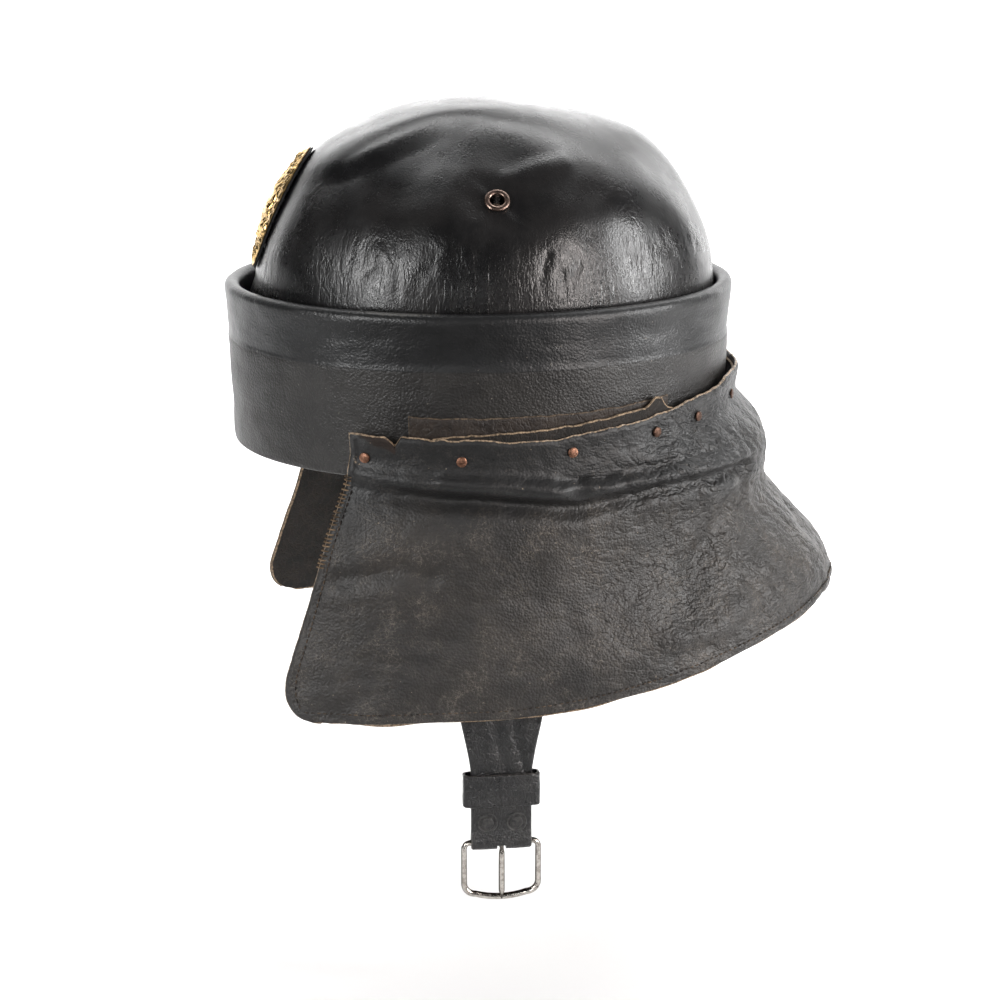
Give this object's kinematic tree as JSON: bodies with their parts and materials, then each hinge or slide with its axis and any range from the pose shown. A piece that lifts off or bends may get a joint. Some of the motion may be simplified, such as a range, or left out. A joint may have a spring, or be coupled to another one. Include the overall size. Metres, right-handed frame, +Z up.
{
  "type": "leather helmet",
  "caption": "Moulded leather crown in a padded rim band, with a riveted neck flap, laced inner cradle, side vents, a bare front badge and a buckled chin strap.",
  "frame": {"origin": "centre of the head opening, level with the foot of the rim band", "axes": "+Z up through the top of the crown, -X towards the face, -Y towards the wearer's left, where the buckle hangs"},
  "size_m": [0.3244, 0.252, 0.4011],
  "materials": {
    "crown_leather": "moulded, blackened and polished leather, scuffed on the high places",
    "band_leather": "blackened grained leather, worn tan along the rim",
    "flap_leather": "soft black leather, faded and creased, tan where it is torn",
    "flap_lining_leather": "thin brown lining leather",
    "facing_leather": "dark brown rubbed leather",
    "sweat_leather": "plain tan-brown leather, darkened by use",
    "strap_leather": "black strap leather, cracked and wrinkled",
    "lining_cloth": "plain woven cotton",
    "felt": "pressed wool felt",
    "lace": "round brown lace",
    "vent_metal": "black paint worn through to brown rust",
    "badge_gilt": "gilt with darkened hollows",
    "copper": "dull copper",
    "black_metal": "black enamel",
    "nickel": "dulled nickel plating"
  },
  "bodies": {
    "helmet": {"crown_shell": "crown_leather", "crown_lining": "lining_cloth", "band_cover": "band_leather", "band_filler": "felt", "vent_eyelet_left": "vent_metal", "vent_eyelet_right": "vent_metal", "vent_washer_left": "vent_metal", "vent_washer_right": "vent_metal", "badge_plate": "badge_gilt", "badge_backing": "band_leather", "badge_posts": "badge_gilt", "badge_nuts": "badge_gilt", "sweatband": "sweat_leather", "sweatband_pad": "felt", "cradle_tongues": "sweat_leather", "cradle_lace": "lace", "neck_flap": "flap_leather", "neck_flap_lining": "flap_lining_leather", "facing_strip_left": "facing_leather", "facing_strip_right": "facing_leather", "flap_rivets": "copper", "flap_burrs": "copper", "strap_tab_left": "strap_leather", "strap_tab_right": "strap_leather"},
    "chin_strap_left": {"strap_left": "strap_leather", "strap_left_rivets": "black_metal"},
    "keeper": {"strap_keeper": "strap_leather"},
    "buckle": {"buckle_frame": "nickel"},
    "prong": {"buckle_prong": "nickel"},
    "chin_strap_right": {"strap_right": "strap_leather"}
  },
  "joints": [
    {"name": "left_strap_swing", "type": "hinge", "parent": "helmet", "child": "chin_strap_left", "pos_m": [-0.0005, -0.0961, -0.0037], "axis": [1, 0, 0], "range_deg": [-6, 22]},
    {"name": "keeper_slide", "type": "slide", "parent": "chin_strap_left", "child": "keeper", "axis": [0, 0, 1], "range_m": [-0.003, 0.01]},
    {"name": "buckle_swing", "type": "hinge", "parent": "chin_strap_left", "child": "buckle", "pos_m": [-0.0005, -0.0948, -0.195], "axis": [1, 0, 0], "range_deg": [-60, 70]},
    {"name": "prong_swing", "type": "hinge", "parent": "buckle", "child": "prong", "pos_m": [-0.0005, -0.0948, -0.195], "axis": [1, 0, 0], "range_deg": [-50, 0]},
    {"name": "right_strap_swing", "type": "hinge", "parent": "helmet", "child": "chin_strap_right", "pos_m": [-0.0005, 0.0961, -0.0037], "axis": [1, 0, 0], "range_deg": [-22, 6]}
  ]
}
